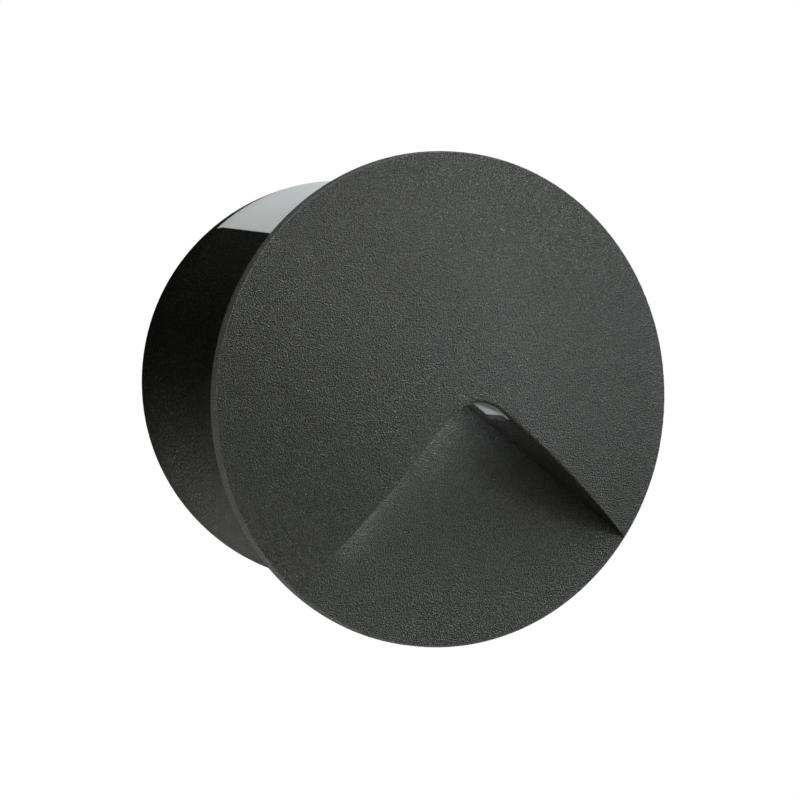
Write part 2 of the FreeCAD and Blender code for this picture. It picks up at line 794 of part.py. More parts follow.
def lens_holder():
    """White frame that presses the lens to its seal and leads the light down to it."""
    outer = box("holder_block", both_sides("slot_board_half_width"),
                ("holder_low", "slot_board_low - fit_gap"),
                ("slot_board_rear", "dome_top"))
    ball = sphere("holder_ball", "dome_under - holder_dome_gap")
    front = box("holder_front", both_sides("slot_board_half_width"), ("holder_low", "slot_board_low"),
                ("slot_board_rear", "slot_board_front"))
    channel = box("holder_channel", both_sides("slot_board_half_width - holder_side_wall"),
                  ("holder_low - overrun", "slot_board_low + overrun"),
                  ("slot_board_rear + holder_wall", "dome_top + overrun"))
    below = notch_prism("holder_notch", "lens_flange_outer + fit_gap", "slot_board_rear - overrun",
                        "dome_top + overrun")
    frame = common("holder_frame", [outer, ball, front])
    stand_up(cut("holder", frame, [channel, below]), "lens_holder")


def slot_board():
    left, right = both_sides("slot_board_half_width")
    corners = [(left, "slot_board_low"), (right, "slot_board_low"), (right, "slot_board_top"),
               (left, "slot_board_top")]
    stand_up(prism("slot_board_block", [corners], "slot_board_rear", "slot_board_front"), "slot_board")


def slot_leds():
    chips = []
    for number in range(int(value("slot_led_count"))):
        across = f"slot_led_pitch * ({number} - (slot_led_count - 1) / 2)"
        chips.append(box(f"slot_led_{number + 1}", (f"{across} - led_width / 2", f"{across} + led_width / 2"),
                         ("slot_board_low - led_height", "slot_board_low"),
                         ("slot_led_depth - led_length / 2", "slot_led_depth + led_length / 2")))
    stand_up(group("slot_led_group", chips), "slot_leds")


def slot_heat_sink():
    """Angle that lies on the board and is screwed to two bosses inside the dome."""
    shelf = box("sink_shelf", both_sides("sink_half_width"), ("sink_low", "sink_top"),
                ("sink_rear", "slot_board_front"))
    leg = box("sink_leg", both_sides("sink_leg_half_width"), ("sink_leg_low", "sink_top"),
              ("sink_rear", "sink_front"))
    holes = [cylinder("sink_lead_hole", "slot_lead_hole_radius", "sink_rear - overrun",
                      "sink_front + overrun",
                      "slot_lead_across", "slot_board_level")]
    for name, across in (("right", "sink_screw_across"), ("left", "-sink_screw_across")):
        holes.append(cylinder(f"sink_hole_{name}", "small_screw_radius + slot_clearance",
                              "sink_rear - overrun",
                              "sink_front + overrun", across, "sink_screw_up"))
    stand_up(cut("sink", fuse("sink_angle", [shelf, leg]), holes), "slot_heat_sink")


def slot_screws():
    screws = [
        small_screw(f"sink_screw_{name}", across, "sink_screw_up", "sink_rear - fit_gap", "out")
        for name, across in (("right", "sink_screw_across"), ("left", "-sink_screw_across"))
    ]
    stand_up(group("sink_screw_group", screws), "slot_screws")


# Housing


def housing():
    """Casting with a deep front, a shallow recess for the wall plate and a light box on top."""
    solids = [housing_form("housing_outer", "0")]
    recess = common("housing_recess", [
        cylinder("recess_round", "recess_radius", "-overrun", "recess_depth"),
        box("recess_block", both_sides("housing_radius"), ("-housing_radius", "recess_top"),
            ("-overrun", "recess_depth")),
    ])
    light_box = common("housing_light_box", [
        cylinder("light_box_round", "light_box_radius", "light_box_rear", "bulkhead_front + overrun"),
        box("light_box_block", both_sides("housing_radius"), ("light_box_floor", "housing_radius"),
            ("light_box_rear", "bulkhead_front + overrun")),
    ])
    front = cylinder("housing_front", "cavity_radius", "bulkhead_front", "housing_depth + overrun")
    shell = cut("housing_shell", solids[0], [recess, light_box, front])
    kept = [shell]
    holes = [
        cut("window_rabbet", window_block("window_rabbet_block", "0"),
            [housing_form("rabbet_core", "rabbet_depth")]),
        window_block("window_opening", "window_ledge"),
        ring("gasket_groove", "groove_inner", "groove_outer", "housing_depth - gasket_groove_depth",
             "housing_depth + overrun"),
        cylinder("lock_hole", "lock_screw_radius + lock_hole_clearance", "-(housing_radius + overrun)",
                 "-(recess_radius - overrun)", up="lock_screw_depth", direction="up"),
        cylinder("lead_hole", "lead_hole_radius", "recess_depth - overrun", "bulkhead_front + overrun",
                 "lead_gland_across", "lead_gland_up"),
    ]
    for name, across, up in face_screw_places():
        kept.append(cylinder(f"boss_{name}", "face_boss_radius", "recess_depth", "boss_front", across, up))
        reach = f"sqrt((cavity_radius + housing_wall / 2) ^ 2 - ({up}) ^ 2)"
        span = (across, reach) if "right" in name else (f"-{reach}", across)
        kept.append(box(f"boss_web_{name}", span,
                        (f"{up} - boss_web_thickness / 2", f"{up} + boss_web_thickness / 2"),
                        ("recess_depth", "boss_front")))
        holes.append(cylinder(f"boss_hole_{name}", "face_boss_hole_radius", "recess_depth - overrun",
                              "boss_front + overrun", across, up))
    for name, across, up in post_places():
        kept.append(cylinder(f"post_{name}", "post_radius", "recess_depth", "post_front", across, up))
        from_front = name.startswith(("driver", "bracket"))
        if from_front:
            span = ("bulkhead_front", "post_front + overrun")
        else:
            span = ("recess_depth - overrun", "post_hole_end")
        holes.append(cylinder(f"post_hole_{name}", "post_hole_radius", span[0], span[1], across, up))
    stand_up(cut("housing_casting", fuse("housing_solid", kept), holes), "housing")


def uplight_window():
    """Frosted window flush with the housing, seated in its rabbet."""
    layer = cut("window_layer", housing_form("window_outer_form", "0"),
                [housing_form("window_inner_form", "window_thickness")])
    pane = common("window_pane", [layer, window_block("window_pane_block", "window_clearance")])
    stand_up(pane, "uplight_window")


def window_seal():
    layer = cut("window_seal_layer", housing_form("seal_outer_form", "(window_thickness + fit_gap)"),
                [housing_form("seal_inner_form", "(window_thickness + fit_gap + window_seal_thickness)")])
    frame = common("window_seal_frame", [layer, window_block("window_seal_block", "window_clearance")])
    stand_up(cut("window_seal_ring", frame, [window_block("window_seal_opening", "window_ledge")]),
             "window_seal")


def lead_gland():
    """Rubber gland in the bulkhead with two holes for the leads."""
    corners = [
        ("0", "recess_depth - lead_gland_lip"),
        ("lead_gland_radius", "recess_depth - lead_gland_lip"),
        ("lead_gland_radius", "recess_depth - fit_gap"),
        ("lead_gland_groove_radius", "recess_depth - fit_gap"),
        ("lead_gland_groove_radius", "bulkhead_front + fit_gap"),
        ("lead_gland_radius", "bulkhead_front + fit_gap"),
        ("lead_gland_radius", "bulkhead_front + lead_gland_lip"),
        ("0", "bulkhead_front + lead_gland_lip"),
    ]
    plug = turned("gland_plug", corners, up="lead_gland_up")
    bind(plug, {"Placement.Base.x": "lead_gland_across"})
    holes = [
        cylinder(f"gland_hole_{name}", "lead_radius + fit_gap", "recess_depth - lead_gland_lip - overrun",
                 "bulkhead_front + lead_gland_lip + overrun",
                 f"lead_gland_across {sign} lead_pair_pitch / 2", "lead_gland_up")
        for name, sign in (("inner", "+"), ("outer", "-"))
    ]
    stand_up(cut("gland", plug, holes), "lead_gland")


def face_screws():
    """Long screws that pass through the housing's bosses into the cover."""
    screws = []
    for name, across, up in face_screw_places():
        shank = cylinder(f"face_shank_{name}", "face_screw_radius", "face_screw_seat - fit_gap",
                         "face_screw_tip",
                         across, up)
        head = cylinder(f"face_head_{name}", "face_screw_head_radius",
                        "face_screw_seat - face_screw_head_height",
                        "face_screw_seat", across, up)
        socket = cylinder(f"face_socket_{name}", "face_screw_socket_radius",
                          "face_screw_seat - face_screw_head_height - overrun",
                          "face_screw_seat - face_screw_head_height + face_screw_socket_depth", across, up)
        screws.append(cut(f"face_screw_{name}", fuse(f"face_blank_{name}", [shank, head]), [socket]))
    stand_up(group("face_screw_group", screws), "face_screws")


def face_screw_washers():
    washers = [
        prism(f"face_washer_{name}",
              [(across, up, "face_screw_head_radius"), (across, up, "face_thread_radius")],
              "face_screw_seat + fit_gap", "recess_depth")
        for name, across, up in face_screw_places()
    ]
    stand_up(group("face_washer_group", washers), "face_screw_washers")


# Driver and its screws


def driver():
    """Potted driver in a plastic case with two ears."""
    case = prism("driver_case_block", [rounded_loop(both_sides("driver_half_width"),
                                                    ("driver_low", "driver_high"), "driver_rounding")],
                 "mounted_back", "driver_front")
    ears = prism("driver_ears", [rounded_loop(both_sides("driver_half_width + driver_ear_reach"),
                                              ("driver_ear_low", "driver_ear_high"), "driver_rounding")],
                 "mounted_back", "mounted_back + driver_ear_thickness")
    holes = [
        cylinder(f"ear_hole_{name}", "small_screw_radius + slot_clearance", "mounted_back - overrun",
                 "mounted_back + driver_ear_thickness + overrun", across, up)
        for name, across, up in post_places() if name.startswith("driver")
    ]
    stand_up(cut("driver_body", fuse("driver_block", [case, ears]), holes), "driver")


def driver_screws():
    screws = [
        small_screw(f"screw_{name}", across, up, "mounted_back + driver_ear_thickness + fit_gap")
        for name, across, up in post_places() if name.startswith("driver")
    ]
    stand_up(group("driver_screw_group", screws), "driver_screws")


# Upper light


def led_bracket():
    """Heat spreader: a shelf under the window on a leg that is screwed to the bulkhead."""
    shelf = box("bracket_shelf", both_sides("bracket_half_width"), ("shelf_low", "shelf_top"),
                ("bracket_rear", "bracket_front"))
    leg = box("bracket_leg", both_sides("bracket_leg_half_width"), ("bracket_leg_low", "shelf_top"),
              ("mounted_back", "mounted_back + bracket_thickness"))
    holes = [
        cylinder(f"bracket_hole_{name}", "small_screw_radius + slot_clearance", "mounted_back - overrun",
                 "mounted_back + bracket_thickness + overrun", across, up)
        for name, across, up in post_places() if name.startswith("bracket")
    ]
    for name, depth in board_screw_places():
        holes.append(cylinder(f"shelf_hole_{name}", "small_screw_radius + slot_clearance",
                              "shelf_low - overrun",
                              "shelf_top + overrun", up=depth, direction="up"))
    stand_up(cut("bracket", fuse("bracket_angle", [shelf, leg]), holes), "led_bracket")


def bracket_screws():
    screws = [
        small_screw(f"screw_{name}", across, up, "mounted_back + bracket_thickness + fit_gap")
        for name, across, up in post_places() if name.startswith("bracket")
    ]
    stand_up(group("bracket_screw_group", screws), "bracket_screws")


def board_screw_places():
    """Name and depth of the two screws that hold tray, board and pad to the shelf."""
    return [
        ("rear", "upper_board_rear + board_screw_inset"),
        ("front", "upper_board_front - board_screw_inset"),
    ]


def board_screw_holes(name, low, high):
    return [
        cylinder(f"{name}_hole_{end}", "small_screw_radius + slot_clearance", low, high, up=depth,
                 direction="up")
        for end, depth in board_screw_places()
    ]


def thermal_pad():
    pad = box("pad_block", both_sides("upper_board_half_width - pad_margin"), ("shelf_top", "pad_top"),
              ("upper_board_rear + pad_margin", "upper_board_front - pad_margin"))
    holes = board_screw_holes("pad", "shelf_top - overrun", "pad_top + overrun")
    stand_up(cut("pad_sheet", pad, holes), "thermal_pad")


def uplight_board():
    board = box("upper_board_block", both_sides("upper_board_half_width"), ("pad_top", "upper_board_top"),
                ("upper_board_rear", "upper_board_front"))
    holes = board_screw_holes("upper_board", "pad_top - overrun", "upper_board_top + overrun")
    stand_up(cut("upper_board_plate", board, holes), "uplight_board")


def upper_led_places():
    """Number, across and depth of each light chip under the window."""
    places = []
    for column in range(int(value("upper_led_columns"))):
        for line in range(int(value("upper_led_rows"))):
            across = f"upper_led_across_pitch * ({column} - (upper_led_columns - 1) / 2)"
            depth = f"upper_board_middle + upper_led_row_pitch * ({line} - (upper_led_rows - 1) / 2)"
            places.append((f"{column + 1}_{line + 1}", across, depth))
    return places


def led_block(name, across, depth, margin, low, high):
    return box(name, (f"{across} - led_width / 2 - {margin}", f"{across} + led_width / 2 + {margin}"),
               (low, high),
               (f"{depth} - led_length / 2 - {margin}", f"{depth} + led_length / 2 + {margin}"))


def uplight_leds():
    chips = [
        led_block(f"upper_led_{name}", across, depth, "0", "upper_board_top", "upper_board_top + led_height")
        for name, across, depth in upper_led_places()
    ]
    stand_up(group("upper_led_group", chips), "uplight_leds")


def uplight_reflector():
    """White tray over the board, with a window for each chip."""
    tray = box("tray_block", both_sides("tray_half_width"), ("tray_base", "tray_floor + tray_wall_height"),
               ("tray_rear", "tray_front"))
    holes = [
        box("tray_hollow", both_sides("tray_half_width - tray_wall"),
            ("tray_floor", "tray_floor + tray_wall_height + overrun"),
            ("tray_rear + tray_wall", "tray_front - tray_wall")),
    ]
    holes += board_screw_holes("tray", "tray_base - overrun", "tray_floor + overrun")
    for name, across, depth in upper_led_places():
        holes.append(led_block(f"tray_window_{name}", across, depth, "tray_window", "tray_base - overrun",
                               "tray_floor + overrun"))
    stand_up(cut("tray", tray, holes), "uplight_reflector")


def board_screws():
    screws = []
    for name, depth in board_screw_places():
        seat = "tray_floor + fit_gap"
        shank = cylinder(f"board_shank_{name}", "small_screw_radius", f"{seat} - small_screw_length", seat,
                         up=depth, direction="up")
        head = cylinder(f"board_head_{name}", "small_head_radius", seat, f"{seat} + small_head_height",
                        up=depth, direction="up")
        socket = cylinder(f"board_socket_{name}", "small_socket_radius",
                          f"{seat} + small_head_height - small_socket_depth",
                          f"{seat} + small_head_height + overrun",
                          up=depth, direction="up")
        screws.append(cut(f"board_screw_{name}", fuse(f"board_blank_{name}", [shank, head]), [socket]))
    stand_up(group("board_screw_group", screws), "board_screws")


# Terminals and earth, in the recess behind the bulkhead


def pole_places():
    """Name and across of the three poles of the terminal block."""
    return [("left", "-terminal_pitch"), ("middle", "0"), ("right", "terminal_pitch")]


def terminal_block():
    block = box("terminal_body", both_sides("terminal_half_width"), ("terminal_low", "terminal_high"),
                ("terminal_rear", "terminal_front"))
    holes = []
    for name, across in pole_places():
        holes.append(cylinder(f"pole_bore_{name}", "terminal_clamp_radius + fit_gap",
                              "terminal_low - overrun",
                              "terminal_high + overrun", across, "terminal_clamp_depth", "up"))
        holes.append(cylinder(f"pole_well_{name}", "terminal_screw_head_radius + slot_clearance",
                              "terminal_rear - overrun", "terminal_clamp_depth", across,
                              "terminal_middle"))
    for name, across, up in post_places():
        if name.startswith("terminal"):
            holes.append(cylinder(f"fixing_bore_{name}", "terminal_fixing_radius", "terminal_rear - overrun",
                                  "terminal_front + overrun", across, up))
            holes.append(cylinder(f"fixing_well_{name}", "small_head_radius + slot_clearance",
                                  "terminal_rear - overrun", "terminal_front - small_head_height", across,
                                  up))
    stand_up(cut("terminal_housing", block, holes), "terminal_block")


def terminal_clamps():
    """Brass sleeves that take the wire ends, one in each pole."""
    sleeves = []
    for name, across in pole_places():
        low, high = "terminal_low + terminal_clamp_inset", "terminal_high - terminal_clamp_inset"
        sleeve = cylinder(f"sleeve_body_{name}", "terminal_clamp_radius", low, high, across,
                          "terminal_clamp_depth", "up")
        bore = cylinder(f"sleeve_bore_{name}", "terminal_bore_radius", f"{low} - overrun",
                        f"{high} + overrun", across,
                        "terminal_clamp_depth", "up")
        thread = cylinder(f"sleeve_thread_{name}", "terminal_screw_radius + fit_gap",
                          "terminal_clamp_depth - terminal_clamp_radius - overrun", "terminal_clamp_depth",
                          across, "terminal_middle")
        sleeves.append(cut(f"sleeve_{name}", sleeve, [bore, thread]))
    stand_up(group("sleeve_group", sleeves), "terminal_clamps")


def terminal_screws():
    """Slotted screws that press the wires in the sleeves."""
    screws = []
    outer_end = "terminal_rear + terminal_screw_sink"
    collar_end = "terminal_clamp_depth - terminal_clamp_radius - fit_gap"
    for name, across in pole_places():
        head = cylinder(f"pole_head_{name}", "terminal_screw_head_radius", outer_end, collar_end, across,
                        "terminal_middle")
        shank = cylinder(f"pole_shank_{name}", "terminal_screw_radius", outer_end,
                         "terminal_clamp_depth - terminal_bore_radius", across, "terminal_middle")
        drive = box(f"pole_drive_{name}",
                    (f"{across} - terminal_slot_width / 2", f"{across} + terminal_slot_width / 2"),
                    ("terminal_low", "terminal_high"),
                    (f"{outer_end} - overrun", f"{outer_end} + terminal_slot_width"))
        screws.append(cut(f"pole_screw_{name}", fuse(f"pole_blank_{name}", [head, shank]), [drive]))
    stand_up(group("pole_screw_group", screws), "terminal_screws")


def terminal_fixings():
    screws = [
        small_screw(f"fixing_{name}", across, up, "terminal_front - small_head_height", "out")
        for name, across, up in post_places() if name.startswith("terminal")
    ]
    stand_up(group("fixing_group", screws), "terminal_fixings")


def earth_ring():
    """Crimped ring on the earth lead, under the earth screw."""
    low, high = "recess_depth - fit_gap - earth_ring_thickness", "recess_depth - fit_gap"
    eye = cylinder("earth_eye", "earth_ring_radius", low, high, "earth_across", "earth_up")
    tongue = box("earth_tongue", ("earth_across - lead_radius", "earth_across + lead_radius"),
                 ("earth_up", "earth_up + 2 * earth_ring_radius"), (low, high))
    hole = cylinder("earth_hole", "small_screw_radius + fit_gap", f"{low} - overrun", f"{high} + overrun",
                    "earth_across", "earth_up")
    stand_up(cut("earth_lug", fuse("earth_blank", [eye, tongue]), [hole]), "earth_ring")


def earth_washer():
    low = "recess_depth - 2 * fit_gap - earth_ring_thickness - earth_washer_thickness"
    washer = prism("earth_washer_disc", [("earth_across", "earth_up", "small_head_radius"),
                                         ("earth_across", "earth_up", "small_screw_radius + fit_gap")],
                   low, f"{low} + earth_washer_thickness")
    stand_up(washer, "earth_washer")


def earth_screw():
    seat = "recess_depth - 3 * fit_gap - earth_ring_thickness - earth_washer_thickness"
    stand_up(small_screw("earth_bolt", "earth_across", "earth_up", seat, "out"), "earth_screw")


# Leads, each a round tube along straight runs joined by arcs


def lead_path(points, bend):
    """Wire through the points, with an arc of one radius at each inner point."""
    edges = []
    start = points[0]
    for number in range(1, len(points) - 1):
        corner = points[number]
        incoming = (corner - points[number - 1]).normalize()
        outgoing = (points[number + 1] - corner).normalize()
        turn = incoming.getAngle(outgoing)
        trim = bend * math.tan(turn / 2)
        arc_start = corner - incoming * trim
        arc_end = corner + outgoing * trim
        inward = (outgoing - incoming).normalize()
        middle = corner + inward * (bend / math.cos(turn / 2) - bend)
        edges.append(Part.LineSegment(start, arc_start).toShape())
        edges.append(Part.Arc(arc_start, middle, arc_end).toShape())
        start = arc_end
    edges.append(Part.LineSegment(start, points[-1]).toShape())
    return Part.Wire(edges)


def lead(name, places):
    """One lead through places given as formulas of across, up and depth."""
    points = [FreeCAD.Vector(*(value(formula) for formula in place)) for place in places]
    path = lead_path(points, value("lead_bend"))
    section = Part.Wire(Part.Circle(points[0], points[1] - points[0], value("lead_radius")).toShape())
    tube = doc.addObject("Part::Feature", name)
    tube.Shape = path.makePipeShell([section], True, False)
    return tube


def mains_leads():
    """Two leads from the driver through the gland, up and over to two poles of the block."""
    leads = []
    for name, sign, run, pole in (("line", "+", "lead_low_run", "-terminal_pitch"),
                                  ("neutral", "-", "lead_high_run", "0")):
        across = f"lead_gland_across {sign} lead_pair_pitch / 2"
        turn_depth = f"lead_turn_depth {sign} lead_pair_pitch / 2"
        leads.append(lead(f"mains_lead_{name}", [
            (across, "driver_high + fit_gap", turn_depth),
            (across, "lead_gland_up", turn_depth),
            (across, "lead_gland_up", "terminal_clamp_depth"),
            (across, run, "terminal_clamp_depth"),
            (pole, run, "terminal_clamp_depth"),
            (pole, "terminal_wire_end", "terminal_clamp_depth"),
        ]))
    stand_up(group("mains_lead_pair", leads), "mains_leads")


def earth_lead():
    """Lead from the earth ring to the third pole of the block."""
    ring_end = "earth_up + 2 * earth_ring_radius"
    run = lead("earth_lead_run", [
        ("earth_across", ring_end, "recess_depth - 2 * fit_gap - earth_ring_thickness - lead_radius"),
        ("earth_across", f"{ring_end} + 2 * lead_bend", "terminal_clamp_depth"),
        ("earth_across", "lead_low_run", "terminal_clamp_depth"),
        ("terminal_pitch", "lead_low_run", "terminal_clamp_depth"),
        ("terminal_pitch", "terminal_wire_end", "terminal_clamp_depth"),
    ])
    stand_up(run, "earth_lead")


def led_leads():
    """Pair of leads from the driver up to the board under the window."""
    leads = []
    for name, sign in (("plus", "+"), ("minus", "-")):
        depth = f"lead_turn_depth {sign} lead_pair_pitch / 2"
        leads.append(lead(f"led_lead_{name}", [
            ("led_lead_across", "driver_high + fit_gap", depth),
            ("led_lead_across", "pad_top + board_thickness / 2", depth),
            ("upper_board_half_width + fit_gap", "pad_top + board_thickness / 2", depth),
        ]))
    stand_up(group("led_lead_pair", leads), "led_leads")


def slot_leads():
    """Pair of leads from the driver to the board over the slot."""
    leads = []
    for name, sign in (("plus", "+"), ("minus", "-")):
        across = f"slot_lead_across {sign} slot_lead_pitch / 2"
        leads.append(lead(f"slot_lead_{name}", [
            (across, "slot_lead_low", "driver_front + fit_gap"),
            (across, "slot_lead_low", "housing_depth - slot_lead_rise_start"),
            (across, "slot_board_level", "housing_depth - slot_lead_rise_end"),
            (across, "slot_board_level", "slot_board_rear - fit_gap"),
        ]))
    stand_up(group("slot_lead_pair", leads), "slot_leads")


# Wall plate and what it carries


def wall_plate():
    """Shallow dish with a straight top: slots for the wall screws and a hole for the cable."""
    dish = prism("plate_dish", [plate_loop("0")], "0", "plate_depth")
    hollow = cylinder("plate_hollow", "plate_radius - plate_wall", "plate_floor", "plate_depth + overrun")
    posts = []
    holes = [
        prism("plate_gasket_groove", [plate_loop("wall_gasket_inset"),
                                      plate_loop("(wall_gasket_inset + wall_gasket_width)")],
              "-overrun", "wall_gasket_thickness"),
        cylinder("plate_cable_hole", "grommet_neck_radius + slot_clearance", "-overrun",
                 "plate_floor + overrun"),
        cylinder("plate_grommet_seat", "grommet_flange_radius + slot_clearance", "-overrun",
                 "grommet_flange_thickness"),
    ]
    for name, sign in (("right", ""), ("left", "-")):
        holes.append(slot_solid(f"plate_slot_{name}", f"{sign}plate_slot_across", "-overrun",
                                "plate_floor + overrun"))
        posts.append(cylinder(f"clamp_post_{name}", "clamp_post_radius", "plate_floor / 2",
                              "plate_floor + clamp_post_height", f"{sign}clamp_half_span", "-clamp_drop"))
        holes.append(cylinder(f"clamp_thread_{name}", "post_hole_radius", "plate_floor",
                              "plate_floor + clamp_post_height + overrun", f"{sign}clamp_half_span",
                              "-clamp_drop"))
    bare = cut("plate_bare", dish, [hollow])
    stand_up(cut("plate_finished", fuse("plate_with_posts", [bare] + posts), holes), "wall_plate")


def wall_gasket():
    gasket = prism("wall_gasket_loop", [plate_loop("(wall_gasket_inset + fit_gap)"),
                                        plate_loop("(wall_gasket_inset + wall_gasket_width - fit_gap)")],
                   "0", "wall_gasket_thickness - fit_gap")
    stand_up(gasket, "wall_gasket")


def cable_grommet():
    """Rubber sleeve in the plate's hole, with a flange on each side of the floor."""
    collar = "plate_floor + fit_gap + grommet_collar_thickness"
    corners = [
        ("cable_radius", "0"),
        ("grommet_flange_radius", "0"),
        ("grommet_flange_radius", "grommet_flange_thickness - fit_gap"),
        ("grommet_neck_radius", "grommet_flange_thickness - fit_gap"),
        ("grommet_neck_radius", "plate_floor + fit_gap"),
        ("grommet_flange_radius", "plate_floor + fit_gap"),
        ("grommet_flange_radius", collar),
        ("grommet_shoulder_radius", collar),
        ("grommet_nose_radius", "grommet_length"),
        ("cable_radius", "grommet_length"),
    ]
    stand_up(turned("grommet_turned", corners), "cable_grommet")


def cable_clamp():
    """Bar with an arch that holds the cable down on the wall plate."""
    low = "plate_floor + clamp_post_height + fit_gap"
    bar = prism("clamp_bar", [rounded_loop(both_sides("clamp_half_length"),
                                           ("-clamp_drop - clamp_half_width",
                                            "-clamp_drop + clamp_half_width"),
                                           "clamp_half_width / 2")],
                low, f"{low} + clamp_thickness")
    holes = [cylinder("clamp_arch", "clamp_arch_radius", "-clamp_drop - clamp_half_width - overrun",
                      "-clamp_drop + clamp_half_width + overrun", up="clamp_arch_depth", direction="up")]
    for name, sign in (("right", ""), ("left", "-")):
        holes.append(cylinder(f"clamp_hole_{name}", "small_screw_radius + slot_clearance", f"{low} - overrun",
                              f"{low} + clamp_thickness + overrun", f"{sign}clamp_half_span", "-clamp_drop"))
        holes.append(cylinder(f"clamp_well_{name}", "small_head_radius + slot_clearance",
                              f"{low} + clamp_thickness / 2",
                              f"{low} + clamp_thickness + overrun", f"{sign}clamp_half_span", "-clamp_drop"))
    stand_up(cut("clamp", bar, holes), "cable_clamp")


def clamp_screws():
    seat = "plate_floor + clamp_post_height + 2 * fit_gap + clamp_thickness / 2"
    screws = [
        small_screw(f"clamp_screw_{name}", f"{sign}clamp_half_span", "-clamp_drop", seat)
        for name, sign in (("right", ""), ("left", "-"))
    ]
    stand_up(group("clamp_screw_group", screws), "clamp_screws")


def lock_screw():
    """Grub screw under the housing whose tip presses on the wall plate."""
    shank = cylinder("lock_shank", "lock_screw_radius", "-lock_end", "-lock_tip - lock_tip_chamfer",
                     up="lock_screw_depth", direction="up")
    tip = doc.addObject("Part::Cone", "lock_tip_cone")
    tip.Placement = FreeCAD.Placement(FreeCAD.Vector(0, 0, 0), turned_to("up"))
    bind(tip, {"Radius1": "lock_screw_radius", "Radius2": "lock_screw_radius - lock_tip_chamfer",
               "Height": "lock_tip_chamfer", "Placement.Base.y": "-lock_tip - lock_tip_chamfer",
               "Placement.Base.z": "lock_screw_depth"})
    socket = doc.addObject("Part::Prism", "lock_socket")
    socket.Polygon = 6
    socket.Placement = FreeCAD.Placement(FreeCAD.Vector(0, 0, 0), turned_to("up"))
    bind(socket, {"Circumradius": "lock_socket_radius", "Height": "lock_socket_depth + overrun",
                  "Placement.Base.y": "-lock_end - overrun", "Placement.Base.z": "lock_screw_depth"})
    stand_up(cut("lock_grub", fuse("lock_blank", [shank, tip]), [socket]), "lock_screw")


for build in (
    face_cover, face_gasket, slot_lens, slot_lens_seal, lens_holder, slot_board, slot_leds, slot_heat_sink,
    slot_screws, housing, uplight_window, window_seal, lead_gland, face_screws, face_screw_washers, driver,
    driver_screws, led_bracket, bracket_screws, thermal_pad, uplight_board, uplight_leds, uplight_reflector,
    board_screws, terminal_block, terminal_clamps, terminal_screws, terminal_fixings, earth_ring,
    earth_washer,
    earth_screw, mains_leads, earth_lead, led_leads, slot_leads, wall_plate, wall_gasket, cable_grommet,
    cable_clamp, clamp_screws, lock_screw,
):
    build()
doc.recompute()

# Nothing is written unless every object and every piece is sound
failed = [thing.Label for thing in doc.Objects if {"Invalid", "Error"} & set(thing.State)]
failed += [part.Label for part in PARTS if part.Shape.isNull() or not part.Shape.isValid()]
if failed:
    raise RuntimeError(f"failed: {', '.join(failed)}")

os.makedirs("parts", exist_ok=True)
for part in PARTS:
    print(f"{part.Label}: {len(part.Shape.Solids)} solids, {part.Shape.Volume:.1f} cubic mm")
    part.Shape.exportStep(f"parts/{part.Label}.step")
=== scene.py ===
import json
import math

import bpy
from mathutils import Matrix, Vector


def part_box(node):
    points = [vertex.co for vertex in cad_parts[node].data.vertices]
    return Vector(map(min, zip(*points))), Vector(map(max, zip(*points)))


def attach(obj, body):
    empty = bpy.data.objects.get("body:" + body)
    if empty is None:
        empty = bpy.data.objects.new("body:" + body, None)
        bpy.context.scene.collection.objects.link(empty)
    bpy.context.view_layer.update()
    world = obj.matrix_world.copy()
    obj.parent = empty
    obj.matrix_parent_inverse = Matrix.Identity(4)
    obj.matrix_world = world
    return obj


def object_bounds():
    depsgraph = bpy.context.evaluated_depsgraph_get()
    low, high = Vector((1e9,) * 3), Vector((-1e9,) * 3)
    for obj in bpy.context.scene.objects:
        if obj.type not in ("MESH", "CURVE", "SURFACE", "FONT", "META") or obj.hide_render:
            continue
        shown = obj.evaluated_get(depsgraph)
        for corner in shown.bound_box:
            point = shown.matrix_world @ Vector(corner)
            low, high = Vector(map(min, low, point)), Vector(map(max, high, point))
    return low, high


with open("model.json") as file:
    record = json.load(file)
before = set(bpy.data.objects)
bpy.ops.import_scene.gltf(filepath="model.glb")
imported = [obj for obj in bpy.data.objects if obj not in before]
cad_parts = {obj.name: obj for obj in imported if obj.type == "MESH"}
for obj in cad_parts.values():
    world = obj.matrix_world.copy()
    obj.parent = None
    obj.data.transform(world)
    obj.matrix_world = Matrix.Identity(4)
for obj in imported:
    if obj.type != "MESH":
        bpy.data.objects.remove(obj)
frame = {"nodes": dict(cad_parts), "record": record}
cad_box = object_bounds()

MM = 0.001

# The disc: a shallow dome on a flat rim, with the centre of the rim's front plane as its place
COVER_LOW, COVER_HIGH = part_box("face_cover")
DISC_RADIUS = (COVER_HIGH.x - COVER_LOW.x) / 2
DOME_HEIGHT = 18.5 * MM
RIM_FRONT = Vector((0.0, COVER_LOW.y + DOME_HEIGHT, COVER_HIGH.z - DISC_RADIUS))
SPHERE_RADIUS = (DISC_RADIUS ** 2 + DOME_HEIGHT ** 2) / (2 * DOME_HEIGHT)
SPHERE_CENTRE = Vector((0.0, COVER_LOW.y + SPHERE_RADIUS, RIM_FRONT.z))

# Camera: a long lens in front of the light, to its left and a little above, leaning to one side
CAMERA_AZIMUTH = math.radians(-24.6)
CAMERA_ELEVATION = math.radians(5.22)
CAMERA_LEAN = math.radians(6.77)
IMAGE_SIDE_PX = 800
FOCAL_PX = 20000
DISC_RADIUS_PX = 248.3
DISC_CENTRE_PX = (441.3, 399.44)
CAMERA_DISTANCE = FOCAL_PX / DISC_RADIUS_PX * DISC_RADIUS
SENSOR_WIDTH_MM = 36


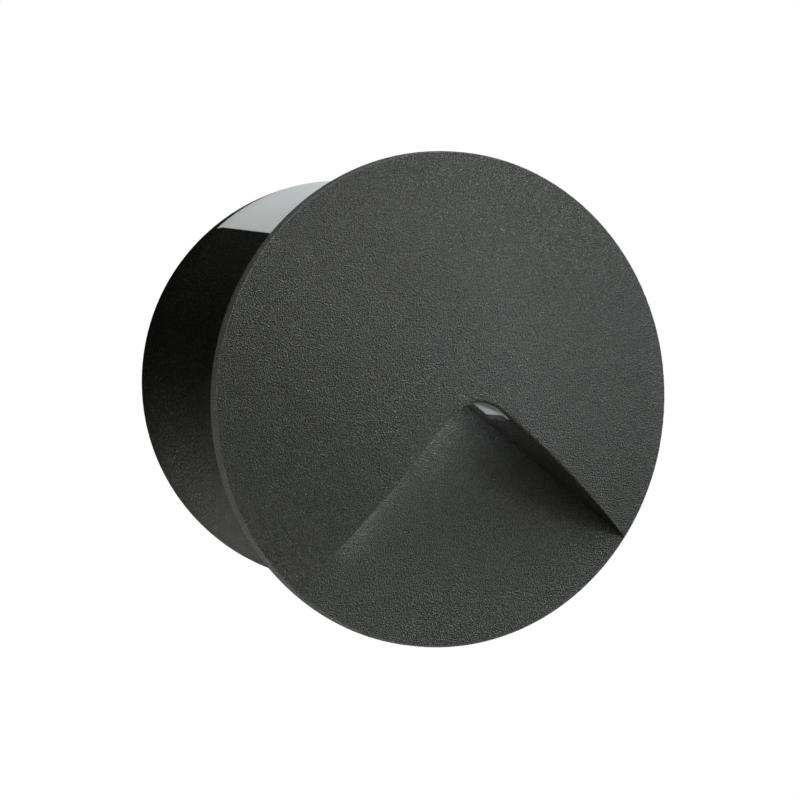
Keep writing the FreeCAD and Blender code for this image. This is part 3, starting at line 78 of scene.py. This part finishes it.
def set_camera():
    """Aims the camera so that the disc's centre falls on its pixel of the photograph."""
    back = Vector((
        math.sin(CAMERA_AZIMUTH) * math.cos(CAMERA_ELEVATION),
        -math.cos(CAMERA_AZIMUTH) * math.cos(CAMERA_ELEVATION),
        math.sin(CAMERA_ELEVATION),
    ))
    level_right = Vector((math.cos(CAMERA_AZIMUTH), math.sin(CAMERA_AZIMUTH), 0))
    level_up = back.cross(level_right)
    right = level_right * math.cos(CAMERA_LEAN) - level_up * math.sin(CAMERA_LEAN)
    up = level_up * math.cos(CAMERA_LEAN) + level_right * math.sin(CAMERA_LEAN)
    across = (DISC_CENTRE_PX[0] - IMAGE_SIDE_PX / 2) / FOCAL_PX * CAMERA_DISTANCE
    rise = (IMAGE_SIDE_PX / 2 - DISC_CENTRE_PX[1]) / FOCAL_PX * CAMERA_DISTANCE
    place = RIM_FRONT + back * CAMERA_DISTANCE - right * across - up * rise
    lens = bpy.data.cameras.new("camera")
    lens.sensor_fit = "HORIZONTAL"
    lens.sensor_width = SENSOR_WIDTH_MM
    lens.lens = FOCAL_PX / IMAGE_SIDE_PX * SENSOR_WIDTH_MM
    camera = bpy.data.objects.new("camera", lens)
    turn = Matrix((right, up, back)).transposed()
    camera.matrix_world = Matrix.Translation(place) @ turn.to_4x4()
    bpy.context.scene.collection.objects.link(camera)
    bpy.context.scene.camera = camera


# Materials

WHOLE_RANGE = (0.0, 1.0)
CLOUD_RANGE = (0.3, 0.7)
FINE_RELIEF = 0.01 * MM

# Powder coat: the ranges of noise over which its tone, flecks and gloss change, and how much
GRAIN_RANGE = (0.38, 0.62)
FLECK_RANGE = (0.62, 0.74)
GLOSS_RANGE = (0.35, 0.65)
GLOSS_CHANGE = 0.17
FLECK_GAIN = 2.2
FLECK_SCALE = 0.9
WAVE_SCALE = 260
WAVE_DEPTH = 0.02 * MM
# Radii from the disc's axis over which the rim's painted highlight, a paler colour, fades in
RIM_HIGHLIGHT_START = DISC_RADIUS - 0.4 * MM
RIM_HIGHLIGHT_FULL = DISC_RADIUS - 0.2 * MM

# Frosted, moulded and metal surfaces
FROST_COLOUR = (0.78, 0.79, 0.78)
FROST_ROUGHNESS = 0.45
FROST_CLOUD_SCALE = 120
FROST_SCALE = 6000
MOULDED_CLOUD_SCALE = 90
METAL_CLOUD_RANGE = (0.35, 0.65)
METAL_GLOSS_GAIN = 0.06
METAL_GLOSS_LOSS = 0.08
SCRATCH_SCALE = 1500


def new_material(name, colour, roughness, metallic=0.0):
    """A principled material, with its nodes, links and shader."""
    material = bpy.data.materials.new(name)
    material.use_nodes = True
    nodes, links = material.node_tree.nodes, material.node_tree.links
    shader = nodes["Principled BSDF"]
    shader.inputs["Base Color"].default_value = (*colour, 1)
    shader.inputs["Roughness"].default_value = roughness
    shader.inputs["Metallic"].default_value = metallic
    return material, nodes, links, shader


def noise(nodes, links, scale, detail, roughness=0.5):
    """Noise in the piece's own coordinates, with as many features in a metre as scale says."""
    place = nodes.new("ShaderNodeTexCoord")
    made = nodes.new("ShaderNodeTexNoise")
    made.inputs["Scale"].default_value = scale
    made.inputs["Detail"].default_value = detail
    made.inputs["Roughness"].default_value = roughness
    links.new(place.outputs["Object"], made.inputs["Vector"])
    return made.outputs["Fac"]


def mapped(nodes, links, source, old_range, new_range):
    """A value spread from one range to another, and held at its ends."""
    spread = nodes.new("ShaderNodeMapRange")
    ends = zip(("From Min", "From Max", "To Min", "To Max"), (*old_range, *new_range))
    for name, value in ends:
        spread.inputs[name].default_value = value
    links.new(source, spread.inputs["Value"])
    return spread.outputs["Result"]


def two_tone(nodes, links, factor, under, over):
    """A colour between two, by a factor. Each is a fixed colour or another node's output."""
    mix = nodes.new("ShaderNodeMix")
    mix.data_type = "RGBA"
    for name, colour in (("A", under), ("B", over)):
        if isinstance(colour, tuple):
            mix.inputs[name].default_value = (*colour, 1)
        else:
            links.new(colour, mix.inputs[name])
    links.new(factor, mix.inputs["Factor"])
    return mix.outputs["Result"]


def bump(nodes, links, shader, height, depth, under=None):
    """Relief of a depth in metres on a shader, over another relief if there is one."""
    relief = nodes.new("ShaderNodeBump")
    relief.inputs["Strength"].default_value = 1.0
    relief.inputs["Distance"].default_value = depth
    links.new(height, relief.inputs["Height"])
    if under is not None:
        links.new(under, relief.inputs["Normal"])
    links.new(relief.outputs["Normal"], shader.inputs["Normal"])
    return relief.outputs["Normal"]


def painted_rim_highlight(nodes, links):
    """Mask of the painted highlight on the rim's side: one on the rim's outer edge, nought inside it, by the
    distance from the disc's axis.
    """
    place = nodes.new("ShaderNodeTexCoord")
    flat = nodes.new("ShaderNodeVectorMath")
    flat.operation = "MULTIPLY_ADD"
    flat.inputs[1].default_value = (1, 0, 1)
    flat.inputs[2].default_value = (0, 0, -RIM_FRONT.z)
    links.new(place.outputs["Object"], flat.inputs[0])
    reach = nodes.new("ShaderNodeVectorMath")
    reach.operation = "LENGTH"
    links.new(flat.outputs["Vector"], reach.inputs[0])
    return mapped(nodes, links, reach.outputs["Value"], (RIM_HIGHLIGHT_START, RIM_HIGHLIGHT_FULL), WHOLE_RANGE)


def powder_coat(name, dark, light, roughness, grain_scale, depth, gloss, edge=None):
    """Fine-texture coat: a close grain of bumps, dark between and light on top, with glossy flecks,
    on a faint waviness. Where an edge colour is given, the rim is painted paler with it: a painted highlight
    along the rim.
    """
    material, nodes, links, shader = new_material(name, light, roughness)
    shader.inputs["Specular IOR Level"].default_value = gloss
    grain = noise(nodes, links, grain_scale, detail=1)
    tone = mapped(nodes, links, grain, GRAIN_RANGE, WHOLE_RANGE)
    coat = two_tone(nodes, links, tone, dark, light)
    # The edge colour is painted light: a paler colour laid on the rim's side as a painted highlight
    if edge is not None:
        coat = two_tone(nodes, links, painted_rim_highlight(nodes, links), coat, edge)
    fleck = noise(nodes, links, FLECK_SCALE * grain_scale, detail=0)
    fleck_share = mapped(nodes, links, fleck, FLECK_RANGE, WHOLE_RANGE)
    fleck_colour = tuple(FLECK_GAIN * channel for channel in light)
    links.new(two_tone(nodes, links, fleck_share, coat, fleck_colour), shader.inputs["Base Color"])
    dull_to_glossy = (roughness + GLOSS_CHANGE, roughness - GLOSS_CHANGE)
    links.new(mapped(nodes, links, fleck, GLOSS_RANGE, dull_to_glossy), shader.inputs["Roughness"])
    wave = noise(nodes, links, WAVE_SCALE, detail=1)
    soft = bump(nodes, links, shader, wave, WAVE_DEPTH)
    bump(nodes, links, shader, grain, depth, under=soft)
    return material


def frosted(name, dark, light):
    """Frosted diffuser, unlit: pale, clouded and matt, with a very fine frost."""
    material, nodes, links, shader = new_material(name, FROST_COLOUR, FROST_ROUGHNESS)
    cloud = noise(nodes, links, FROST_CLOUD_SCALE, detail=2)
    tone = mapped(nodes, links, cloud, CLOUD_RANGE, WHOLE_RANGE)
    links.new(two_tone(nodes, links, tone, dark, light), shader.inputs["Base Color"])
    bump(nodes, links, shader, noise(nodes, links, FROST_SCALE, detail=1), FINE_RELIEF)
    return material


def moulded(name, dark, light, roughness, grain_scale, depth):
    """Moulded plastic or rubber with a fine eroded surface and slight changes of tone."""
    material, nodes, links, shader = new_material(name, light, roughness)
    cloud = noise(nodes, links, MOULDED_CLOUD_SCALE, detail=3)
    tone = mapped(nodes, links, cloud, CLOUD_RANGE, WHOLE_RANGE)
    links.new(two_tone(nodes, links, tone, dark, light), shader.inputs["Base Color"])
    bump(nodes, links, shader, noise(nodes, links, grain_scale, detail=2), depth)
    return material


def plated(name, dark, light, roughness, cloud_scale):
    """Metal with a cloudy tone and fine scratches."""
    material, nodes, links, shader = new_material(name, light, roughness, metallic=1.0)
    cloud = noise(nodes, links, cloud_scale, detail=4, roughness=0.6)
    tone = mapped(nodes, links, cloud, METAL_CLOUD_RANGE, WHOLE_RANGE)
    links.new(two_tone(nodes, links, tone, dark, light), shader.inputs["Base Color"])
    glossy_to_dull = (roughness - METAL_GLOSS_GAIN, roughness + METAL_GLOSS_LOSS)
    links.new(mapped(nodes, links, cloud, CLOUD_RANGE, glossy_to_dull), shader.inputs["Roughness"])
    bump(nodes, links, shader, noise(nodes, links, SCRATCH_SCALE, detail=3), FINE_RELIEF)
    return material


# Each material by its slot: two colours between which it varies, its roughness, then the scale and
# depth of its grain, or the scale of its clouds for a metal
MATERIALS = {
    "coated_casting": powder_coat(
        "coated_casting", (0.024, 0.024, 0.021), (0.073, 0.074, 0.067), 0.39, 3000, 0.95 * MM,
        # Its edge colour is a painted highlight on the rim's side
        gloss=0.6, edge=(0.12, 0.122, 0.122)),
    "black_coated_casting": powder_coat(
        "black_coated_casting", (0.001, 0.001, 0.001), (0.01, 0.01, 0.009), 0.38, 2700, 0.45 * MM,
        gloss=0.27),
    "frosted_diffuser": frosted(
        "frosted_diffuser", (0.77, 0.785, 0.77), (0.8, 0.815, 0.8)),
    "seal_rubber": moulded(
        "seal_rubber", (0.02, 0.02, 0.02), (0.035, 0.035, 0.035), 0.7, 3000, 0.02 * MM),
    "white_plastic": moulded(
        "white_plastic", (0.76, 0.76, 0.74), (0.85, 0.85, 0.83), 0.45, 4000, 0.01 * MM),
    "black_plastic": moulded(
        "black_plastic", (0.02, 0.02, 0.02), (0.04, 0.04, 0.04), 0.5, 3000, 0.03 * MM),
    "circuit_board": moulded(
        "circuit_board", (0.8, 0.8, 0.78), (0.9, 0.9, 0.88), 0.3, 5000, 0.005 * MM),
    "led_phosphor": moulded(
        "led_phosphor", (0.85, 0.65, 0.12), (0.95, 0.8, 0.25), 0.35, 5000, 0.005 * MM),
    "bare_aluminium": plated(
        "bare_aluminium", (0.68, 0.69, 0.71), (0.8, 0.81, 0.82), 0.35, 60),
    "zinc_steel": plated(
        "zinc_steel", (0.5, 0.52, 0.55), (0.68, 0.69, 0.7), 0.32, 120),
    "stainless_screw": plated(
        "stainless_screw", (0.55, 0.55, 0.56), (0.7, 0.7, 0.7), 0.25, 300),
    "brass": plated(
        "brass", (0.68, 0.5, 0.2), (0.82, 0.64, 0.32), 0.28, 300),
    "lead_insulation": moulded(
        "lead_insulation", (0.12, 0.05, 0.02), (0.18, 0.08, 0.03), 0.4, 3000, 0.005 * MM),
}
SLOT_OF = {row["node"]: row["material_slot"] for row in frame["record"]["subparts"]}


def dress_nodes():
    """Gives every carried-over piece the finish of its slot."""
    for name, node in frame["nodes"].items():
        for slot in node.material_slots:
            slot.material = MATERIALS[SLOT_OF[name]]


# The lens's front edge. The notch's two walls slope by an angle, and a rounding joins them under
# the apex at which they would meet. Heights are those of the apex and of the rounding's centre.
NOTCH_ANGLE = math.radians(45)
APEX_HEIGHT = 1.35 * MM
NOTCH_ROUNDING = 10.2 * MM
ROUNDING_HEIGHT = APEX_HEIGHT - NOTCH_ROUNDING / math.sin(NOTCH_ANGLE)
LENS_HALF_WIDTH = 9.6 * MM
EDGE_STEPS = 48
# The edge's section: each corner's offset from the wall into the casting, and its depth under the dome
EDGE_SECTION_MM = ((0.05, 2.5), (-0.06, 2.45), (-0.12, 2.3), (-0.12, 1.05), (-0.09, 0.92), (0.05, 0.85))


def notch_wall_point(turn, offset):
    """Across and up of a point on the notch's wall, a turn from its top, with an offset into the casting."""
    held = max(-NOTCH_ANGLE, min(NOTCH_ANGLE, turn))
    reach = NOTCH_ROUNDING + offset
    slide = (turn - held) * NOTCH_ROUNDING
    across = reach * math.sin(held) + slide * math.cos(held)
    return across, ROUNDING_HEIGHT + reach * math.cos(held) - slide * math.sin(held)


def edge_section(turn):
    """Corners of the edge's section at a turn from the notch's top."""
    corners = []
    for offset, under_dome in EDGE_SECTION_MM:
        across, up = notch_wall_point(turn, offset * MM)
        rise = up - SPHERE_CENTRE.z
        depth = math.sqrt((SPHERE_RADIUS - under_dome * MM) ** 2 - across ** 2 - rise ** 2)
        corners.append((across, SPHERE_CENTRE.y - depth, up))
    return corners


def lens_front_edge():
    """The lens's thin front edge, which laps over the hood's lip as far as its rounded corner."""
    round_half_width = NOTCH_ROUNDING * math.sin(NOTCH_ANGLE)
    past_rounding = (LENS_HALF_WIDTH - round_half_width) / (NOTCH_ROUNDING * math.cos(NOTCH_ANGLE))
    last_turn = NOTCH_ANGLE + past_rounding
    points = []
    for step in range(EDGE_STEPS + 1):
        points += edge_section(last_turn * (2 * step / EDGE_STEPS - 1))
    size = len(EDGE_SECTION_MM)
    faces = [tuple(range(size)), tuple(reversed(range(EDGE_STEPS * size, (EDGE_STEPS + 1) * size)))]
    for step in range(EDGE_STEPS):
        near, far = step * size, (step + 1) * size
        for side in range(size):
            other = (side + 1) % size
            faces.append((near + side, far + side, far + other, near + other))
    mesh = bpy.data.meshes.new("slot_lens_front_edge")
    mesh.from_pydata(points, [], faces)
    mesh.materials.append(MATERIALS["frosted_diffuser"])
    mesh.shade_smooth()
    edge = bpy.data.objects.new("slot_lens_front_edge", mesh)
    bpy.context.scene.collection.objects.link(edge)
    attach(edge, "head")


# Studio

SOFT_BOX_DISTANCE = 1.5
SOFT_BOX_SIZE = 1.0
# Each soft box: its name, its direction from the disc, its brightness and its colour
SOFT_BOXES = (
    ("right_top", (0.5, -0.3, 0.8), 4.8, (0.81, 0.84, 1)),
    ("right", (1.0, -0.2, 0.0), 2.6, (0.95, 1, 1)),
    ("key", (0.25, -0.9, 0.35), 2.2, (1, 0.97, 0.72)),
    ("fill", (-0.2, -0.95, 0.25), 0.75, (0.75, 0.97, 1)),
    ("left_top", (-0.6, -0.3, 0.75), 1.6, (0.96, 1, 0.89)),
    ("left_low", (-0.4, -0.8, -0.4), 0.35, (1, 0.9, 0.6)),
    ("top", (0.0, 0.15, 1.0), 1.05, (1, 0.95, 0.85)),
    ("below", (-0.4, 0.3, -0.85), 1.5, (0.95, 1, 1)),
    ("behind", (-0.3, 0.6, -0.75), 3.3, (0.98, 1, 0.9)),
    ("back", (0.68, 0.73, -0.05), 0.6, (1, 1, 1)),
)
GLINT_SIZE = 0.35

# The lamp's weak glow in the notch: a small light under the lens, and a strip along the left wall
NOTCH_LAMP_PLACE = Vector((0, -83.5, -4.3)) * MM
NOTCH_LAMP_SIZE = 8 * MM
NOTCH_GLOW_START = Vector((-3.5, -78.3, -6.5)) * MM
NOTCH_GLOW_END = Vector((-31.0, -78.3, -34.5)) * MM
NOTCH_GLOW_WIDTH = 3 * MM

FLOOR_HALF_SIDE = 40.0
FLOOR_DROP = 5.2
FLOOR_COLOUR = (0.85, 0.85, 0.85)
FLOOR_ROUGHNESS = 0.8
SURROUNDINGS_COLOUR = (0.9, 0.95, 1, 1)
SURROUNDINGS_STRENGTH = 0.003


def add_light(name, data, brightness, colour, place, turn):
    """An area light of a brightness that doesn't depend on its size, unseen by the camera."""
    data.energy = brightness * math.pi * data.size * data.size_y
    data.color = colour
    light = bpy.data.objects.new(name, data)
    light.matrix_world = Matrix.Translation(place) @ turn.to_4x4()
    light.visible_camera = False
    bpy.context.scene.collection.objects.link(light)


def square_light(name, direction, brightness, colour, size, distance=SOFT_BOX_DISTANCE, aim=RIM_FRONT):
    """A square light in a direction from what it is turned to."""
    data = bpy.data.lights.new(name, "AREA")
    data.shape = "SQUARE"
    data.size = size
    data.size_y = size
    toward = Vector(direction).normalized()
    turn = toward.to_track_quat("Z", "Y").to_matrix()
    add_light(name, data, brightness, colour, aim + toward * distance, turn)


def strip_light(name, start, end, width, brightness, colour):
    """A narrow light along a line, turned towards the wall."""
    data = bpy.data.lights.new(name, "AREA")
    data.shape = "RECTANGLE"
    data.size = (end - start).length
    data.size_y = width
    along = (end - start).normalized()
    front = Vector((0, -1, 0))
    turn = Matrix((along, front.cross(along), front)).transposed()
    add_light(name, data, brightness, colour, (start + end) / 2, turn)


def set_lights():
    """Soft boxes around the light, and the weak light of its own lamp over the notch's floor."""
    for name, direction, brightness, colour in SOFT_BOXES:
        square_light(name, direction, brightness, colour, SOFT_BOX_SIZE)
    square_light("glint", (0.6, -0.755, 0.26), 16, (0.88, 0.95, 1), GLINT_SIZE)
    square_light("notch_lamp", (0.12, -0.19, 1), 15, (0.9, 0.95, 1), NOTCH_LAMP_SIZE,
                 distance=0, aim=NOTCH_LAMP_PLACE)
    strip_light("notch_glow", NOTCH_GLOW_START, NOTCH_GLOW_END, NOTCH_GLOW_WIDTH, 2.9, (0.95, 0.98, 1))


def set_floor():
    """Plain pale floor, far enough below for views from beneath the light."""
    mesh = bpy.data.meshes.new("floor")
    half = FLOOR_HALF_SIDE
    level = cad_box[0][2] - FLOOR_DROP
    corners = [(-half, -half, level), (half, -half, level), (half, half, level), (-half, half, level)]
    mesh.from_pydata(corners, [], [(0, 1, 2, 3)])
    floor = bpy.data.objects.new("floor", mesh)
    material, _, _, shader = new_material("floor", FLOOR_COLOUR, FLOOR_ROUGHNESS)
    shader.inputs["Emission Color"].default_value = (1, 1, 1, 1)
    shader.inputs["Emission Strength"].default_value = 1
    mesh.materials.append(material)
    floor.visible_diffuse = False
    floor.visible_glossy = False
    bpy.context.scene.collection.objects.link(floor)


def set_world():
    """White surroundings, dimmer for what they light than for what the camera sees."""
    world = bpy.data.worlds.new("studio")
    world.use_nodes = True
    nodes, links = world.node_tree.nodes, world.node_tree.links
    nodes.clear()
    seen = nodes.new("ShaderNodeBackground")
    seen.inputs["Color"].default_value = (1, 1, 1, 1)
    lit = nodes.new("ShaderNodeBackground")
    lit.inputs["Color"].default_value = SURROUNDINGS_COLOUR
    lit.inputs["Strength"].default_value = SURROUNDINGS_STRENGTH
    ray = nodes.new("ShaderNodeLightPath")
    mix = nodes.new("ShaderNodeMixShader")
    out = nodes.new("ShaderNodeOutputWorld")
    links.new(ray.outputs["Is Camera Ray"], mix.inputs["Fac"])
    links.new(lit.outputs["Background"], mix.inputs[1])
    links.new(seen.outputs["Background"], mix.inputs[2])
    links.new(mix.outputs["Shader"], out.inputs["Surface"])
    bpy.context.scene.world = world


dress_nodes()
lens_front_edge()
set_camera()
set_world()
set_floor()
set_lights()
bpy.context.scene.view_settings.view_transform = "Standard"
